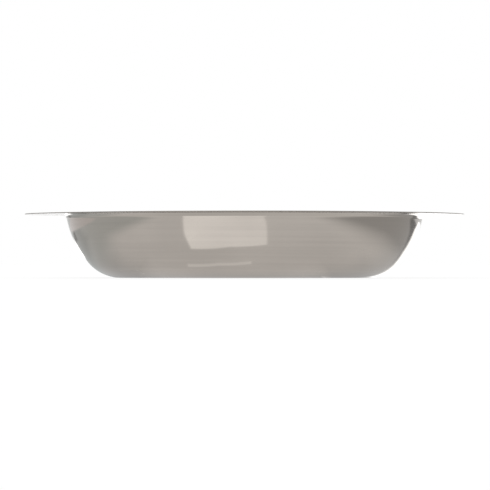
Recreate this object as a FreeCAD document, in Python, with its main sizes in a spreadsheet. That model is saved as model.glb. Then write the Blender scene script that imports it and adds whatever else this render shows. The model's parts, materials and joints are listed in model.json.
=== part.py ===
"""One-piece steel gold pan, drawn from a single round sheet.

The pan is a body of revolution about Z with one wall thickness all over: a flat base, a large
knuckle arc, a wall arc that steepens towards the mouth, a small draw radius, and a broad flat rim.
Its base stands on Z = 0 and its axis is the Z axis. Lengths are in millimetres, angles in degrees.
"""

import FreeCAD, Part
import math
import os

import Sketcher
from FreeCAD import Vector

SHEET_NAME = "sizes"
PARTS_FOLDER = "parts"

# alias: (value, what it measures)
SIZES = {
    "rim_diameter": (406, "outer diameter of the rim, the pan's overall width"),
    "rim_width": (33.5, "flat part of the rim, from the draw radius to the cut edge"),
    "height": (60, "from the underside of the base to the top of the rim"),
    "sheet_gauge": (0.8, "thickness of the steel sheet"),
    "draw_radius": (5, "underside radius where the wall turns out into the rim"),
    "mouth_draft": (11, "angle of the wall from upright at the mouth"),
    "knuckle_draft": (42, "angle of the wall from upright where the knuckle begins"),
    "knuckle_radius": (40, "outer radius between the base and the wall"),
    "edge_break": (0.25, "rounding of the rim's cut edge, above and below"),
}
EDGE_BREAK_SHARE = 0.45  # the most of the sheet's thickness that each rounding may take

# point positions of a sketch's lines and arcs, as Sketcher numbers them
START, END, CENTRE = 1, 2, 3
ORIGIN = (-1, START)


def write_sizes(doc):
    """The driving dimensions, one row each: alias, value, meaning."""
    sheet = doc.addObject("Spreadsheet::Sheet", SHEET_NAME)
    for row, (alias, (value, meaning)) in enumerate(SIZES.items(), start=1):
        sheet.set(f"A{row}", alias)
        sheet.set(f"B{row}", str(value))
        sheet.set(f"C{row}", meaning)
        sheet.setAlias(f"B{row}", alias)
    doc.recompute()
    return sheet


def polar(centre, radius, angle):
    return centre + Vector(radius * math.cos(angle), radius * math.sin(angle), 0)


def arc(centre, radius, first, last):
    circle = Part.Circle(centre, Vector(0, 0, 1), radius)
    return Part.ArcOfCircle(circle, first, last)


def section_curves(sheet):
    """The section's lines and arcs in order round it, and the two slope lines.

    The section lies right of the axis: x is the radius and y the height. A point of the outer wall
    whose slope is a from upright lies at angle -a as seen from its arc's centre.
    """
    rim_radius = sheet.rim_diameter / 2
    gauge = sheet.sheet_gauge
    draw = sheet.draw_radius
    knuckle = sheet.knuckle_radius
    at_mouth = math.radians(sheet.mouth_draft)
    at_knuckle = math.radians(sheet.knuckle_draft)

    rim_start = rim_radius - sheet.rim_width
    draw_centre = Vector(rim_start, sheet.height - gauge - draw, 0)
    mouth = polar(draw_centre, draw, math.pi - at_mouth)
    knuckle_top = knuckle * (1 - math.sin(at_knuckle))
    wall = (mouth.y - knuckle_top) / (math.sin(at_knuckle) - math.sin(at_mouth))
    wall_centre = polar(mouth, wall, math.pi - at_mouth)
    knuckle_centre = polar(wall_centre, wall - knuckle, -at_knuckle)
    base_radius = knuckle_centre.x
    if base_radius <= 0:
        raise ValueError("the wall and knuckle leave no flat base inside this rim")

    curves = {
        "base_under": Part.LineSegment(Vector(0, 0, 0), Vector(base_radius, 0, 0)),
        "knuckle_under": arc(knuckle_centre, knuckle, -math.pi / 2, -at_knuckle),
        "wall_under": arc(wall_centre, wall, -at_knuckle, -at_mouth),
        "draw_under": arc(draw_centre, draw, math.pi / 2, math.pi - at_mouth),
        "rim_under": Part.LineSegment(
            Vector(rim_start, sheet.height - gauge, 0),
            Vector(rim_radius, sheet.height - gauge, 0),
        ),
        "rim_edge": Part.LineSegment(
            Vector(rim_radius, sheet.height - gauge, 0),
            Vector(rim_radius, sheet.height, 0),
        ),
        "rim_top": Part.LineSegment(
            Vector(rim_radius, sheet.height, 0), Vector(rim_start, sheet.height, 0)
        ),
        "draw_top": arc(draw_centre, draw + gauge, math.pi / 2, math.pi - at_mouth),
        "wall_top": arc(wall_centre, wall - gauge, -at_knuckle, -at_mouth),
        "knuckle_top": arc(knuckle_centre, knuckle - gauge, -math.pi / 2, -at_knuckle),
        "base_top": Part.LineSegment(Vector(base_radius, gauge, 0), Vector(0, gauge, 0)),
        "axis_edge": Part.LineSegment(Vector(0, gauge, 0), Vector(0, 0, 0)),
    }
    slopes = {
        "mouth_slope": Part.LineSegment(wall_centre, mouth),
        "knuckle_slope": Part.LineSegment(
            wall_centre, polar(wall_centre, wall, -at_knuckle)
        ),
    }
    return curves, slopes


def draw_section(body, sheet):
    """The pan's half section on the XZ plane, held by constraints that read the sheet."""
    sketch = body.newObject("Sketcher::SketchObject", "pan_section")
    plane = next(f for f in body.Origin.OriginFeatures if f.Role == "XZ_Plane")
    sketch.AttachmentSupport = [(plane, "")]
    sketch.MapMode = "FlatFace"

    curves, slopes = section_curves(sheet)
    index = {name: sketch.addGeometry(curve) for name, curve in curves.items()}
    for name, line in slopes.items():
        index[name] = sketch.addGeometry(line, True)

    def join(kind, first, first_point, second, second_point):
        sketch.addConstraint(
            Sketcher.Constraint(kind, index[first], first_point, index[second], second_point)
        )

    # smooth joints along the underside, and along the inner face one gauge away
    for side in ("under", "top"):
        base, knuckle = f"base_{side}", f"knuckle_{side}"
        wall, draw, rim = f"wall_{side}", f"draw_{side}", f"rim_{side}"
        outward = side == "under"
        join("Tangent", base, END if outward else START, knuckle, START)
        join("Tangent", knuckle, END, wall, START)
        join("Tangent", wall, END, draw, END)
        join("Tangent", draw, START, rim, START if outward else END)
    for arc_name in ("knuckle", "wall", "draw"):
        join("Coincident", f"{arc_name}_under", CENTRE, f"{arc_name}_top", CENTRE)
    join("Coincident", "rim_under", END, "rim_edge", START)
    join("Coincident", "rim_edge", END, "rim_top", START)
    join("Coincident", "base_top", END, "axis_edge", START)
    join("Coincident", "axis_edge", END, "base_under", START)
    sketch.addConstraint(
        Sketcher.Constraint("Coincident", index["base_under"], START, *ORIGIN)
    )
    for name in ("base_under", "rim_under"):
        sketch.addConstraint(Sketcher.Constraint("Horizontal", index[name]))
    for name in ("axis_edge", "rim_edge"):
        sketch.addConstraint(Sketcher.Constraint("Vertical", index[name]))

    # each slope line runs from the wall's centre to the point whose slope it sets
    join("Coincident", "mouth_slope", START, "wall_under", CENTRE)
    join("Coincident", "mouth_slope", END, "wall_under", END)
    join("Coincident", "knuckle_slope", START, "wall_under", CENTRE)
    join("Coincident", "knuckle_slope", END, "wall_under", START)

    def bind(constraint_name, constraint, expression):
        number = sketch.addConstraint(constraint)
        sketch.renameConstraint(number, constraint_name)
        sketch.setExpression(f"Constraints.{constraint_name}", expression)

    rim_edge = index["rim_edge"]
    axis_edge = index["axis_edge"]
    mouth_slope = index["mouth_slope"]
    knuckle_slope = index["knuckle_slope"]
    bind(
        "rim_radius",
        Sketcher.Constraint("DistanceX", *ORIGIN, rim_edge, START, sheet.rim_diameter / 2),
        f"{SHEET_NAME}.rim_diameter / 2 * 1 mm",
    )
    bind(
        "rim_width",
        Sketcher.Constraint(
            "DistanceX", index["rim_under"], START, index["rim_under"], END, sheet.rim_width
        ),
        f"{SHEET_NAME}.rim_width * 1 mm",
    )
    bind(
        "height",
        Sketcher.Constraint("DistanceY", *ORIGIN, rim_edge, END, sheet.height),
        f"{SHEET_NAME}.height * 1 mm",
    )
    bind(
        "gauge",
        Sketcher.Constraint("DistanceY", axis_edge, END, axis_edge, START, sheet.sheet_gauge),
        f"{SHEET_NAME}.sheet_gauge * 1 mm",
    )
    bind(
        "draw_radius",
        Sketcher.Constraint("Radius", index["draw_under"], sheet.draw_radius),
        f"{SHEET_NAME}.draw_radius * 1 mm",
    )
    bind(
        "knuckle_radius",
        Sketcher.Constraint("Radius", index["knuckle_under"], sheet.knuckle_radius),
        f"{SHEET_NAME}.knuckle_radius * 1 mm",
    )
    bind(
        "mouth_draft",
        Sketcher.Constraint("Angle", mouth_slope, -math.radians(sheet.mouth_draft)),
        f"-{SHEET_NAME}.mouth_draft * 1 deg",
    )
    bind(
        "knuckle_draft",
        Sketcher.Constraint("Angle", knuckle_slope, -math.radians(sheet.knuckle_draft)),
        f"-{SHEET_NAME}.knuckle_draft * 1 deg",
    )
    return sketch


def rim_corner_names(solid, rim_radius):
    """Names of the two circles where the rim's cut edge meets its top and its underside."""
    names = []
    for number, edge in enumerate(solid.Edges, start=1):
        curve = edge.Curve
        if isinstance(curve, Part.Circle) and math.isclose(curve.Radius, rim_radius):
            names.append(f"Edge{number}")
    return names


def make_pan(doc, sheet):
    """The drawn pan: the section turned about the axis, with the rim's cut edge broken."""
    body = doc.addObject("PartDesign::Body", "pan")
    body.Label = "pan"
    sketch = draw_section(body, sheet)
    doc.recompute()

    shell = body.newObject("PartDesign::Revolution", "drawn_shell")
    shell.Profile = sketch
    shell.ReferenceAxis = (sketch, ["V_Axis"])
    shell.Angle = 360
    doc.recompute()

    corners = rim_corner_names(shell.Shape, sheet.rim_diameter / 2)
    edge_break = body.newObject("PartDesign::Fillet", "edge_break")
    edge_break.Base = (shell, corners)
    edge_break.setExpression(
        "Radius",
        f"min({SHEET_NAME}.edge_break; {EDGE_BREAK_SHARE} * {SHEET_NAME}.sheet_gauge) * 1 mm",
    )
    body.Tip = edge_break
    sketch.Visibility = False
    doc.recompute()
    return body


def check_document(doc):
    """Stops the build if any object of the document has failed."""
    for item in doc.Objects:
        if "Invalid" in item.State or "Error" in item.State:
            raise RuntimeError(f"{item.Name} failed to build: {item.State}")


def check_piece(body):
    """Stops the build if a piece isn't one sound solid."""
    shape = body.Shape
    if shape.isNull() or not shape.isValid() or len(shape.Solids) != 1:
        raise RuntimeError(f"{body.Label} isn't one valid solid")


def main():
    doc = FreeCAD.newDocument("gold_pan")
    sheet = write_sizes(doc)
    pieces = [make_pan(doc, sheet)]
    check_document(doc)
    for body in pieces:
        check_piece(body)
    os.makedirs(PARTS_FOLDER, exist_ok=True)
    for body in pieces:
        body.Shape.exportStep(os.path.join(PARTS_FOLDER, f"{body.Label}.step"))
        box = body.Shape.optimalBoundingBox(True, False)
        print(
            f"{body.Label}: {box.XLength:.2f} x {box.YLength:.2f} x {box.ZLength:.2f} mm, "
            f"volume {body.Shape.Volume:.0f} mm3, from Z {box.ZMin:.3f} to {box.ZMax:.3f}"
        )


main()
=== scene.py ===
"""A drawn steel gold pan on a plain pale floor, seen level from the front.

The pan is turned from one section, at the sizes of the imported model, and its polished steel is a
node material. Lengths are in metres and angles in radians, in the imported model's frame.
"""

import json
import math
from random import Random

import bpy
from mathutils import Euler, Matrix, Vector


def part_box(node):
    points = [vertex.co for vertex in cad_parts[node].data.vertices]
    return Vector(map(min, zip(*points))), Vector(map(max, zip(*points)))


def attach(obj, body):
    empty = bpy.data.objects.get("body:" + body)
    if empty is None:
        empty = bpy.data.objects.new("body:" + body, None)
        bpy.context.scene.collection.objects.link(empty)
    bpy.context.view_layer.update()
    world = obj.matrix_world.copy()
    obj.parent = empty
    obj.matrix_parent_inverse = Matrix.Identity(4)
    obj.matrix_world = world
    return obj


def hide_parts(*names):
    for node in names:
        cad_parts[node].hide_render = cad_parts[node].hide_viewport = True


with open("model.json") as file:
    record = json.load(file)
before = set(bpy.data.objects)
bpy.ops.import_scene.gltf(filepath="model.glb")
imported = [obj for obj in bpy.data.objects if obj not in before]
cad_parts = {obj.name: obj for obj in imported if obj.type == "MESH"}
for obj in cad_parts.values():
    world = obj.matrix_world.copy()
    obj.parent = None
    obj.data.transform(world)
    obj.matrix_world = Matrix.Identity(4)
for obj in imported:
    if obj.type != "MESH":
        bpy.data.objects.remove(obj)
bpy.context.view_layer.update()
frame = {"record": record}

SEED = 7
WHITE = (1, 1, 1, 1)

# ---------------------------------------------------------------- the pan's sizes

MOUNTS = {mount["name"]: mount for mount in frame["record"]["mounts"]}
PAN_LOW, PAN_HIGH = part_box("pan")
RIM_RADIUS = PAN_HIGH[0]
HEIGHT = PAN_HIGH[2]
GAUGE = HEIGHT - MOUNTS["rim_underside"]["pos_m"][2]

# The section's own values, as the pan is designed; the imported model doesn't carry them.
RIM_WIDTH = 0.0335
DRAW_RADIUS = 0.005
MOUTH_DRAFT = math.radians(11)  # from upright, where the wall meets the draw radius
KNUCKLE_DRAFT = math.radians(42)  # from upright, where the knuckle meets the wall
KNUCKLE_RADIUS = 0.040
EDGE_BREAK = 0.00025

RIM_START = RIM_RADIUS - RIM_WIDTH
WALL_TOP = HEIGHT - GAUGE - DRAW_RADIUS  # the height of the draw radius's centre

# ---------------------------------------------------------------- how fine the mesh is

SIDES = 288
BASE_RINGS = 14
KNUCKLE_STEPS = 26
WALL_STEPS = 40
DRAW_STEPS = 14
RIM_RINGS = 12
EDGE_STEPS = 4

# ---------------------------------------------------------------- unevenness of a pressed sheet

RIM_SAG = 0.00070  # how far the rim dips below true at its two sides
SAG_SHARE = 0.8  # how much of the rim's unevenness is that sag; the rest wanders
BASE_LIFT = 0.00010  # how far the base lifts off true at its highest
WALL_WAVE = 0.00010  # how far the wall wanders in or out
WAVE_GROWTH = 1.4  # the wander outward is full at 1 / 1.4 of the pan's height
STILL_CENTRE = 0.3  # share of the rim's radius over which the unevenness grows from nothing
RING_WAVE = 0.000005  # height of the drawing rings on the wall
RING_PITCH = 0.0062
RING_TWIST = 3  # how much faster the rings' strength wanders along the section
WAVES = ((2, 1.0, 9.0), (3, 0.7, 17.0), (5, 0.45, 31.0), (8, 0.25, 52.0))  # lobes, share, twist per metre


# ================================================================ geometry

def on_arc(centre, radius, angle):
    return Vector((centre[0] + radius * math.cos(angle), centre[1] + radius * math.sin(angle)))


def steps(first, last, count, with_first=True):
    """Evenly spaced values from first to last."""
    return [first + (last - first) * i / count for i in range(0 if with_first else 1, count + 1)]


def section():
    """The section's stations from the axis out to the rim's edge: (point of the underside, normal
    through the sheet, name of the part), with x the radius and y the height."""
    draw_centre = (RIM_START, WALL_TOP)
    mouth = on_arc(draw_centre, DRAW_RADIUS, math.pi - MOUTH_DRAFT)
    knuckle_top = KNUCKLE_RADIUS * (1 - math.sin(KNUCKLE_DRAFT))
    wall = (mouth.y - knuckle_top) / (math.sin(KNUCKLE_DRAFT) - math.sin(MOUTH_DRAFT))
    wall_centre = on_arc(mouth, wall, math.pi - MOUTH_DRAFT)
    knuckle_centre = on_arc(wall_centre, wall - KNUCKLE_RADIUS, -KNUCKLE_DRAFT)
    base_radius = knuckle_centre.x

    stations = []
    for radius in steps(0, base_radius, BASE_RINGS, with_first=False):
        stations.append((Vector((radius, 0)), Vector((0, 1)), "base"))
    for angle in steps(-math.pi / 2, -KNUCKLE_DRAFT, KNUCKLE_STEPS, with_first=False):
        inward = -Vector((math.cos(angle), math.sin(angle)))
        stations.append((on_arc(knuckle_centre, KNUCKLE_RADIUS, angle), inward, "knuckle"))
    for angle in steps(-KNUCKLE_DRAFT, -MOUTH_DRAFT, WALL_STEPS, with_first=False):
        inward = -Vector((math.cos(angle), math.sin(angle)))
        stations.append((on_arc(wall_centre, wall, angle), inward, "wall"))
    for angle in steps(math.pi - MOUTH_DRAFT, math.pi / 2, DRAW_STEPS, with_first=False):
        inward = Vector((math.cos(angle), math.sin(angle)))
        stations.append((on_arc(draw_centre, DRAW_RADIUS, angle), inward, "draw"))
    for radius in steps(RIM_START, RIM_RADIUS - EDGE_BREAK, RIM_RINGS, with_first=False):
        stations.append((Vector((radius, HEIGHT - GAUGE)), Vector((0, 1)), "rim"))
    return stations


def wave(turn, along, draw):
    """A smooth value from 0 to 1 that wanders round the pan and along its section."""
    total = sum(share for _, share, _ in WAVES)
    value = sum(
        share * math.sin(lobes * turn + twist * along + draw[i])
        for i, (lobes, share, twist) in enumerate(WAVES)
    )
    return 0.5 + 0.5 * value / total


def saddle(turn):
    """A value from 0 at the pan's two sides to 1 at its front and back."""
    return 0.5 - 0.5 * math.cos(2 * turn)


def shift_limits(height, part):
    """How far the sheet may move along its normal at that height: (lowest, highest). The base only
    lifts and the rim only sags, so the pan never leaves its true box."""
    if part == "base":
        return 0.0, BASE_LIFT
    if part == "rim":
        return -RIM_SAG, 0.0
    share = min(max(height / HEIGHT, 0.0), 1.0)
    low = -WALL_WAVE * math.sin(math.pi * min(share * WAVE_GROWTH, 1.0) / 2)
    high = WALL_WAVE * (1 - share) + BASE_LIFT * (1 - share)
    if part == "draw":
        blend = max((height - WALL_TOP) / DRAW_RADIUS, 0.0)
        low = low + (-RIM_SAG - low) * blend
        high = high * (1 - blend)
    return low, high


def edge_points(foot, normal):
    """The cut edge, from the underside's last point round to the first of the top, each (radius,
    height)."""
    points = []
    across = Vector((normal.y, -normal.x))
    low = foot + normal * EDGE_BREAK
    high = foot + normal * (GAUGE - EDGE_BREAK)
    for angle in steps(-math.pi / 2, 0, EDGE_STEPS, with_first=False):
        points.append(low + across * EDGE_BREAK * math.cos(angle) + normal * EDGE_BREAK * math.sin(angle))
    for angle in steps(0, math.pi / 2, EDGE_STEPS)[:-1]:
        points.append(high + across * EDGE_BREAK * math.cos(angle) + normal * EDGE_BREAK * math.sin(angle))
    return points


def section_at(turn, stations, draw):
    """The closed section at one angle round the pan, from the underside's centre over the rim's
    edge to the centre of the inside, as (radius, height) points, without the two centres."""
    under, over = [], []
    along = 0.0
    last = stations[0][0]
    for point, normal, part in stations:
        along += (point - last).length
        last = point
        low, high = shift_limits(point.y, part)
        fade = min(point.x / (STILL_CENTRE * RIM_RADIUS), 1.0)
        rise = wave(turn, along, draw)
        if part in ("draw", "rim"):
            rise = SAG_SHARE * saddle(turn) + (1 - SAG_SHARE) * rise
        shift = (low + (high - low) * rise) * fade
        if part in ("wall", "knuckle"):
            ring = math.sin(2 * math.pi * along / RING_PITCH)
            shift += RING_WAVE * ring * wave(turn, RING_TWIST * along, draw[::-1])
        foot = point + normal * shift
        under.append(foot)
        over.append(foot + normal * GAUGE)
    edge = edge_points(under[-1], stations[-1][1])
    return under + edge + over[::-1]


def placed(name, data):
    """A new object for a mesh, a lamp or a camera, in the scene."""
    piece = bpy.data.objects.new(name, data)
    bpy.context.scene.collection.objects.link(piece)
    return piece


def make_pan():
    """The pan's closed mesh: one section per side, joined ring by ring, with a fan at each centre."""
    random = Random(SEED)
    draw = [random.uniform(0, 2 * math.pi) for _ in WAVES]
    stations = section()
    vertices = [(0.0, 0.0, 0.0), (0.0, 0.0, GAUGE)]
    for side in range(SIDES):
        turn = 2 * math.pi * side / SIDES
        points = section_at(turn, stations, draw)
        vertices += [(p.x * math.cos(turn), p.x * math.sin(turn), p.y) for p in points]
    per_side = len(points)
    faces = []
    for side in range(SIDES):
        here = 2 + side * per_side
        there = 2 + (side + 1) % SIDES * per_side
        faces.append((0, there, here))
        for i in range(per_side - 1):
            faces.append((here + i, there + i, there + i + 1, here + i + 1))
        faces.append((1, here + per_side - 1, there + per_side - 1))
    mesh = bpy.data.meshes.new("pan_shell")
    mesh.from_pydata(vertices, [], faces)
    mesh.polygons.foreach_set("use_smooth", [True] * len(mesh.polygons))
    mesh.update()
    return placed("pan_shell", mesh)


# ================================================================ materials

STEEL = (0.422, 0.387, 0.350, 1)
STEEL_DARK = (0.385, 0.353, 0.320, 1)
STEEL_ROUGHNESS = (0.07, 0.13)
STEEL_ANISOTROPY = 0.25
CUT_EDGE = (0.24, 0.225, 0.205, 1)
CUT_EDGE_REACH = (0.0005, 0.0001)  # how far in from the rim's edge its look begins, and is full
CUT_EDGE_ROUGHER = 0.25

FINE_LINES = 1600.0  # polishing lines per metre of the section
FINE_DRIFT = 6.0  # how fast they change round the pan
BANDS = 260.0  # broader bands of lines, in the same measures
BAND_DRIFT = 4.0
CLOUDS = 11.0  # cloudy patches per metre
BAND_TONE = 0.4  # share of the bands in the steel's tone; clouds make the rest
FINE_GLOSS = 0.5  # share of the fine lines in its gloss; clouds make the rest
TONE_SPREAD = (0.36, 0.64)  # the values of a noise that give the two ends of its ramp
GLOSS_SPREAD = (0.35, 0.65)
LINE_STRENGTH = 0.10
LINE_DEPTH = 0.00003
RIM_LINES = 0.1  # share of the lines' depth that the flat rim has


class Nodes:
    """A short way to build the node tree of a material or a world: each call adds a node, links or
    sets its inputs and returns the node or its output."""

    def __init__(self, owner):
        self.owner = owner
        owner.use_nodes = True
        self.tree = owner.node_tree
        self.tree.nodes.clear()

    def add(self, kind, settings=None, **inputs):
        """A node with those settings. An input is named by its name, with _ for a space, or by its
        number after an _."""
        node = self.tree.nodes.new(kind)
        for key, value in (settings or {}).items():
            setattr(node, key, value)
        for key, value in inputs.items():
            name = int(key[1:]) if key[0] == "_" else key.replace("_", " ")
            self.put(node.inputs[name], value)
        return node

    def put(self, socket, value):
        """Link an output to the socket, or set its value."""
        if isinstance(value, bpy.types.NodeSocket):
            self.tree.links.new(value, socket)
        else:
            socket.default_value = value

    def maths(self, operation, *values):
        node = self.add("ShaderNodeMath", {"operation": operation})
        for socket, value in zip(node.inputs, values):
            self.put(socket, value)
        return node.outputs[0]

    def share_of(self, first_share, first, second):
        """The sum of that share of the first value and the rest of the second."""
        return self.maths("ADD", self.maths("MULTIPLY", first, first_share),
                          self.maths("MULTIPLY", second, 1 - first_share))

    def ramp(self, value, low, high, to_low=0.0, to_high=1.0):
        """value from low..high mapped to to_low..to_high, smoothly and held at the ends."""
        node = self.add(
            "ShaderNodeMapRange",
            {"interpolation_type": "SMOOTHSTEP"},
            Value=value,
            From_Min=low,
            From_Max=high,
            To_Min=to_low,
            To_Max=to_high,
        )
        return node.outputs["Result"]

    def blend(self, share, first, second):
        """The first colour where share is 0 and the second where it is 1."""
        node = self.add("ShaderNodeMix", {"data_type": "RGBA"})
        self.put(node.inputs["Factor"], share)
        self.put(node.inputs["A"], first)
        self.put(node.inputs["B"], second)
        return node.outputs["Result"]

    def finish(self, shader, out="ShaderNodeOutputMaterial"):
        self.add(out, Surface=shader)
        return self.owner


def steel_material():
    """Polished stainless steel, with lines that run round the pan as its polishing wheel ran."""
    n = Nodes(bpy.data.materials.new("polished_steel"))
    place = n.add("ShaderNodeTexCoord").outputs["Object"]
    x, y, z = n.add("ShaderNodeSeparateXYZ", Vector=place).outputs
    radius = n.maths("SQRT", n.maths("ADD", n.maths("MULTIPLY", x, x), n.maths("MULTIPLY", y, y)))

    def rings(per_metre, drift, detail):
        """Noise that is the same all round the pan, apart from a slow drift."""
        ring = n.add("ShaderNodeCombineXYZ", X=n.maths("MULTIPLY", radius, per_metre),
                     Y=n.maths("MULTIPLY", z, per_metre))
        slow = n.add("ShaderNodeVectorMath", {"operation": "SCALE"}, _0=place, Scale=drift)
        vector = n.add("ShaderNodeVectorMath", {"operation": "ADD"}, _0=ring.outputs[0], _1=slow.outputs[0])
        noise = n.add("ShaderNodeTexNoise", Vector=vector.outputs[0], Scale=1.0, Detail=detail)
        return noise.outputs["Fac"]

    fine = rings(FINE_LINES, FINE_DRIFT, 2.0)
    bands = rings(BANDS, BAND_DRIFT, 3.0)
    clouds = n.add("ShaderNodeTexNoise", Vector=place, Scale=CLOUDS, Detail=4.0).outputs["Fac"]
    edge_begins, edge_full = CUT_EDGE_REACH
    edge = n.ramp(radius, RIM_RADIUS - edge_begins, RIM_RADIUS - edge_full)

    tone = n.share_of(BAND_TONE, bands, clouds)
    colour = n.blend(n.ramp(tone, *TONE_SPREAD), STEEL_DARK, STEEL)
    colour = n.blend(edge, colour, CUT_EDGE)

    gloss = n.share_of(FINE_GLOSS, fine, clouds)
    roughness = n.ramp(gloss, *GLOSS_SPREAD, *STEEL_ROUGHNESS)
    roughness = n.maths("ADD", roughness, n.maths("MULTIPLY", edge, CUT_EDGE_ROUGHER))

    depth = n.ramp(radius, RIM_START - DRAW_RADIUS, RIM_START, 1.0, RIM_LINES)
    lines = n.add("ShaderNodeBump", Strength=LINE_STRENGTH, Distance=LINE_DEPTH,
                  Height=n.maths("MULTIPLY", fine, depth))
    swells = n.add("ShaderNodeBump", Strength=LINE_STRENGTH, Distance=LINE_DEPTH,
                   Height=n.maths("MULTIPLY", bands, depth), Normal=lines.outputs[0])
    tangent = n.add("ShaderNodeTangent", {"direction_type": "RADIAL", "axis": "Z"})
    shader = n.add(
        "ShaderNodeBsdfPrincipled",
        Base_Color=colour,
        Metallic=1.0,
        Roughness=roughness,
        Normal=swells.outputs[0],
        Anisotropic=STEEL_ANISOTROPY,
        Tangent=tangent.outputs[0],
    )
    return n.finish(shader.outputs[0])


FLOOR_SEEN = 0.85  # share of plain white in the floor as the camera sees it; the rest takes shadow
FLOOR_MIRRORED = 0.9  # the same share in the floor as metal and glass show it


def floor_material():
    """A pale floor that shows white and keeps the pan's shadow."""
    n = Nodes(bpy.data.materials.new("pale_floor"))
    path = n.add("ShaderNodeLightPath")
    mirrored = n.maths("MAXIMUM", path.outputs["Is Glossy Ray"], path.outputs["Is Transmission Ray"])
    share = n.maths(
        "MAXIMUM",
        n.maths("MULTIPLY", path.outputs["Is Camera Ray"], FLOOR_SEEN),
        n.maths("MULTIPLY", mirrored, FLOOR_MIRRORED),
    )
    plain = n.add("ShaderNodeBsdfDiffuse", Color=WHITE)
    white = n.add("ShaderNodeEmission", Color=WHITE, Strength=1.0)
    mix = n.add("ShaderNodeMixShader", Fac=share, _1=plain.outputs[0], _2=white.outputs[0])
    return n.finish(mix.outputs[0])


# ================================================================ the studio

FLOOR_REACH = 60.0
WORLD_LIGHT = 0.75  # the world's strength as light; the camera, metal and glass see it at 1, white
SUN_STRENGTH = 1.1
SUN_SOFTNESS = math.radians(35)
LIGHT_TURN = (math.radians(28), math.radians(-22), 0)
GLOW_HEART = math.radians(6)  # the glow is full to this far from its middle
GLOW_REACH = math.radians(40)  # and gone at this
GLOW_STRENGTH = 1.6


def make_floor():
    r = FLOOR_REACH
    mesh = bpy.data.meshes.new("floor")
    mesh.from_pydata([(-r, -r, 0), (r, -r, 0), (r, r, 0), (-r, r, 0)], [], [(0, 1, 2, 3)])
    mesh.materials.append(floor_material())
    floor = placed("floor", mesh)
    floor.location.z = PAN_LOW[2]


def make_world():
    """A white studio that lights at WORLD_LIGHT. In it metal also shows a soft light overhead."""
    world = bpy.data.worlds.new("studio")
    bpy.context.scene.world = world
    n = Nodes(world)
    path = n.add("ShaderNodeLightPath")
    glossy = path.outputs["Is Glossy Ray"]
    shown = n.maths("MAXIMUM", n.maths("MAXIMUM", path.outputs["Is Camera Ray"], glossy),
                    path.outputs["Is Transmission Ray"])
    towards = n.add("ShaderNodeTexCoord").outputs["Generated"]
    nearness = n.add("ShaderNodeVectorMath", {"operation": "DOT_PRODUCT"}, _0=towards, _1=light_direction())
    glow = n.ramp(nearness.outputs["Value"], math.cos(GLOW_REACH), math.cos(GLOW_HEART), 0.0, GLOW_STRENGTH)
    strength = n.maths("ADD", n.ramp(shown, 0, 1, WORLD_LIGHT, 1.0), n.maths("MULTIPLY", glossy, glow))
    background = n.add("ShaderNodeBackground", Color=WHITE, Strength=strength)
    n.finish(background.outputs[0], "ShaderNodeOutputWorld")


def light_direction():
    """The way from the pan to the lamp."""
    return Euler(LIGHT_TURN).to_matrix() @ Vector((0, 0, 1))


def make_sun():
    """The lamp that casts the pan's shadow. Metal shows the world's soft glow in its place."""
    lamp = bpy.data.lights.new("key", "SUN")
    lamp.energy = SUN_STRENGTH
    lamp.angle = SUN_SOFTNESS
    sun = placed("key", lamp)
    sun.rotation_euler = LIGHT_TURN
    sun.visible_glossy = False


# ================================================================ what the steel mirrors: painted light and shade on cards

CARD_STEP = 0.00012  # height of one layer of cards; all six lie lower than the inside of the base
COOL = (0.965, 1, 1, 1)
WARM = (1, 0.97, 0.97, 1)
CONTACT_RADIUS = 0.121
CONTACT_CORNERS = 64
BOUNCE_RADIUS = 0.1646
BOUNCE_WIDTH = 0.0020
BOUNCE_REACH = math.radians(70)  # how far it runs to each side of the front
BOUNCE_HEIGHT = 0.0557
BOUNCE_STRENGTH = 0.95
BOUNCE_STEPS = 60


def mirrored_only(name, mesh, material):
    """Put a mesh in the studio that only reflections see."""
    mesh.materials.append(material)
    piece = placed(name, mesh)
    piece.visible_camera = False
    piece.visible_diffuse = False
    piece.visible_shadow = False
    piece.visible_transmission = False
    piece.visible_volume_scatter = False


def grown(outline, by):
    """A counter-clockwise outline with each side moved outward by that much."""
    count = len(outline)
    corners = []
    for i in range(count):
        here = Vector(outline[i])
        before = (here - Vector(outline[i - 1])).normalized()
        after = (Vector(outline[(i + 1) % count]) - here).normalized()
        out_before = Vector((before.y, -before.x))
        out_after = Vector((after.y, -after.x))
        middle = (out_before + out_after).normalized()
        corners.append(here + middle * by / middle.dot(out_after))
    return corners


# Each card is painted light or painted shade: it glows at its strength, lights nothing, casts no shadow and
# shows only in the steel.
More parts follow.
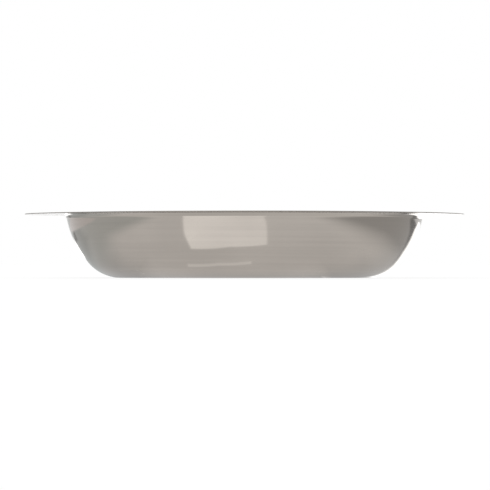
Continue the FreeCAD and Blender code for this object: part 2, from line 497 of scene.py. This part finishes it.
def card(name, layer, strength, soft, outline, colour=WHITE, across=None):
    """A flat card just over the floor that only the steel's reflections see. outline is a line of
    (x, y) corners, counter-clockwise; strength 1 is white; soft is the width over which its rim
    fades; a higher layer lies on a lower one. across, if given, is (first x, last x, last
    strength): from the first x to the last, the strength changes to the last one."""
    inner = grown(outline, -soft / 2)
    outer = grown(outline, soft / 2)
    count = len(outline)
    height = PAN_LOW[2] + CARD_STEP * layer
    mesh = bpy.data.meshes.new(name)
    faces = [tuple(range(count))]
    faces += [(i, count + i, count + (i + 1) % count, (i + 1) % count) for i in range(count)]
    mesh.from_pydata([(x, y, height) for x, y in inner + outer], [], faces)
    cover = mesh.attributes.new("cover", "FLOAT", "POINT")
    cover.data.foreach_set("value", [1.0] * count + [0.0] * count)

    n = Nodes(bpy.data.materials.new(name))
    covered = n.add("ShaderNodeAttribute", {"attribute_name": "cover"}).outputs["Fac"]
    clear = n.add("ShaderNodeBsdfTransparent")
    if across:
        first, last, last_strength = across
        place = n.add("ShaderNodeTexCoord").outputs["Object"]
        x = n.add("ShaderNodeSeparateXYZ", Vector=place).outputs["X"]
        strength = n.ramp(x, first, last, strength, last_strength)
    light = n.add("ShaderNodeEmission", Color=colour, Strength=strength)
    mix = n.add("ShaderNodeMixShader", Fac=n.ramp(covered, 0, 1), _1=clear.outputs[0], _2=light.outputs[0])
    mirrored_only(name, mesh, n.finish(mix.outputs[0]))


def make_bounce():
    """A crescent just under the rim at the front, for the light that the draw radius mirrors."""
    turns = steps(-BOUNCE_REACH, BOUNCE_REACH, BOUNCE_STEPS)
    wide = [BOUNCE_RADIUS + BOUNCE_WIDTH * math.cos(t * math.pi / 2 / BOUNCE_REACH) for t in turns]
    inner = [(BOUNCE_RADIUS * math.sin(t), -BOUNCE_RADIUS * math.cos(t), BOUNCE_HEIGHT) for t in turns]
    outer = [(r * math.sin(t), -r * math.cos(t), BOUNCE_HEIGHT) for r, t in zip(wide, turns)]
    count = len(turns)
    mesh = bpy.data.meshes.new("draw_bounce")
    faces = [(i, count + i, count + i + 1, i + 1) for i in range(count - 1)]
    mesh.from_pydata(inner + outer, [], faces)
    n = Nodes(bpy.data.materials.new("draw_bounce"))
    light = n.add("ShaderNodeEmission", Color=WHITE, Strength=BOUNCE_STRENGTH)
    mirrored_only("draw_bounce", mesh, n.finish(light.outputs[0]))


def make_cards():
    """The bright and dark patches that the photographed steel mirrors from the front. Their corners
    and strengths were traced back from the photograph to the floor by mirror reflection and then
    adjusted, so they suit that one view. What each patch stands for is a guess."""
    # The floor's broad falling off at both sides.
    card("left_shade", 1, 0.74, 0.07,
         [(-0.60, -0.35), (-0.265, -0.35), (-0.19, -0.08), (-0.10, -0.055), (-0.10, 0.45), (-0.33, 1.0),
          (-0.70, 2.4), (-1.1, 2.4)], COOL)
    card("right_shade", 1, 0.54, 0.11,
         [(0.22, -0.35), (0.60, -0.35), (0.60, 0.80), (0.11, 0.80), (0.11, 0.04), (0.145, 0.0),
          (0.187, -0.07)])

    # The shade that the pan itself throws round its base.
    card("left_low", 2, 0.62, 0.05,
         [(-0.02, -0.05), (-0.02, 0.02), (-0.145, 0.02), (-0.148, -0.025), (-0.130, -0.070),
          (-0.100, -0.093)])
    card("right_low", 2, 0.64, 0.05,
         [(0.02, -0.05), (0.080, -0.106), (0.118, -0.082), (0.142, -0.045), (0.157, -0.008), (0.14, 0.02),
          (0.02, 0.02)])
    turns = steps(0, 2 * math.pi, CONTACT_CORNERS, with_first=False)
    card("contact_shade", 4, 0.30, 0.026,
         [(CONTACT_RADIUS * math.cos(turn), CONTACT_RADIUS * math.sin(turn)) for turn in turns])

    # Painted shade: darker cards for the floor farther back, to the left and to the right, as the steel
    # mirrors it.
    card("left_shade_back", 3, 0.58, 0.05,
         [(-0.225, 0.02), (-0.105, -0.02), (-0.105, 0.45), (-0.34, 0.45), (-0.30, 0.13)], COOL)
    card("right_shade_back", 3, 0.27, 0.02,
         [(0.158, 0.005), (0.21, 0.058), (0.27, 0.115), (0.34, 0.16), (0.45, 0.25), (0.50, 0.44),
          (0.30, 0.44)])
    card("left_dark", 4, 0.33, 0.02,
         [(-0.235, 0.15), (-0.23, 0.30), (-0.32, 0.30)])
    card("right_far", 4, 0.80, 0.06,
         [(0.355, 0.34), (0.60, 0.31), (1.2, 3.0), (0.5, 3.0)])
    card("left_far", 5, 0.84, 0.02,
         [(-0.60, 0.04), (-0.40, -0.02), (-0.324, 0.022), (-0.303, 0.069), (-0.294, 0.14), (-0.294, 0.27),
          (-0.303, 0.45), (-0.32, 0.65), (-0.60, 0.65)], WARM)

    # Painted highlights: glowing cards that light nothing, for the backdrop's two bright edges in the
    # steel.
    card("right_edge", 5, 2.0, 0.014,
         [(0.075, -0.088), (0.097, -0.060), (0.139, -0.008), (0.184, 0.046), (0.234, 0.127), (0.30, 0.24),
          (0.42, 0.56), (0.42, 1.20), (0.20, 1.20), (0.075, 0.20)])
    card("left_edge", 6, 2.0, 0.014,
         [(-0.18, 0.13), (-0.17, 0.60), (-0.28, 0.60), (-0.222, 0.25)])

    # Painted reflections, from glowing cards that light nothing: the soft box, brighter to its left and
    # softer at its left edge, and a thin line of light nearer the pan.
    card("painted_soft_box", 5, 1.54, 0.004,
         [(-0.0614, -0.156), (-0.086, -0.183), (-0.140, -0.253), (-0.25, -0.45), (0.062, -0.45),
          (0.047, -0.285), (0.0427, -0.25), (0.0357, -0.212), (0.0275, -0.173), (-0.017, -0.1694)],
         across=(-0.11, 0.02, 1.33))
    card("painted_soft_box_left", 6, 1.52, 0.010,
         [(-0.070, -0.168), (-0.086, -0.183), (-0.140, -0.253), (-0.25, -0.45), (-0.20, -0.45),
          (-0.110, -0.25), (-0.068, -0.19)])
    card("low_line", 6, 1.15, 0.003,
         [(-0.056, -0.1335), (-0.025, -0.1440), (0.007, -0.1480), (0.007, -0.1440), (-0.0245, -0.1395),
          (-0.054, -0.1290)])


# ================================================================ the camera

CAMERA_DISTANCE = 4.0
CAMERA_HEIGHT = 0.0135
CAMERA_ASIDE = 0.0005
CAMERA_SENSOR = 36  # millimetres, as is the lens
CAMERA_LENS = 317.5
CAMERA_CLIP = (0.05, 200)
AIM_HEIGHT = HEIGHT / 2 + 0.0005


def make_camera():
    data = bpy.data.cameras.new("camera")
    data.lens = CAMERA_LENS
    data.sensor_width = CAMERA_SENSOR
    data.clip_start, data.clip_end = CAMERA_CLIP
    camera = placed("camera", data)
    camera.location = (CAMERA_ASIDE, -CAMERA_DISTANCE, CAMERA_HEIGHT)
    target = Vector((CAMERA_ASIDE, 0, AIM_HEIGHT))
    camera.rotation_euler = (target - camera.location).to_track_quat("-Z", "Y").to_euler()
    bpy.context.scene.camera = camera


# ================================================================ the scene

make_camera()
make_floor()
make_world()
make_sun()
make_cards()
make_bounce()

pan = make_pan()
pan.data.materials.append(steel_material())
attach(pan, "root")
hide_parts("pan")

bpy.context.scene.view_settings.view_transform = "Standard"
